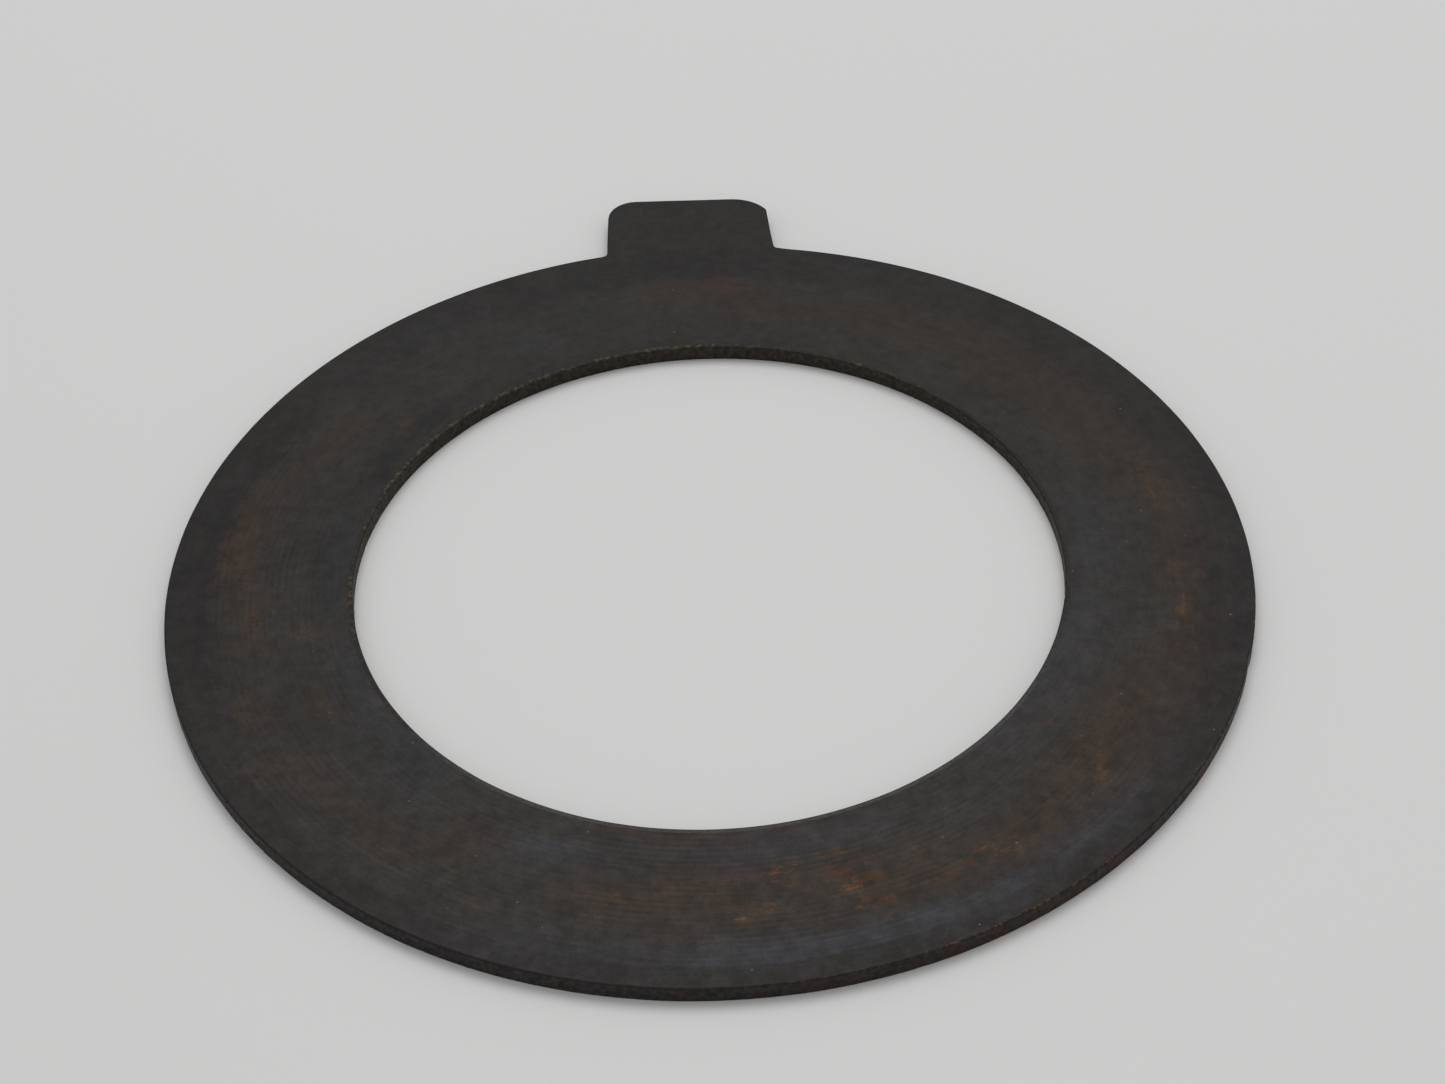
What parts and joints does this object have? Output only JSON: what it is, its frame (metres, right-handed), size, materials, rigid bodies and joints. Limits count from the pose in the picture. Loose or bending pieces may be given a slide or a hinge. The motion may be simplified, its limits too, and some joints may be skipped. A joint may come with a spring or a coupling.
{
  "type": "tabbed flat washer",
  "caption": "Flat round steel washer with a wide bore and a rectangular locking tab on its rim, in worn black oxide.",
  "frame": {"origin": "middle of the bounding box, on the bottom face; the ring's own axis stands at x = 0, y = -0.0045", "axes": "+Z along the washer's axis, out of the turned face; +Y from the ring's centre towards the tab; +X to the right seen from above with the tab pointing away"},
  "size_m": [0.1016, 0.1106, 0.0016],
  "materials": {
    "oxidised_steel": "worn black oxide over turned steel, dull, with brown staining and specks of orange rust"
  },
  "bodies": {
    "root": {"tab_washer": "oxidised_steel"}
  },
  "joints": []
}
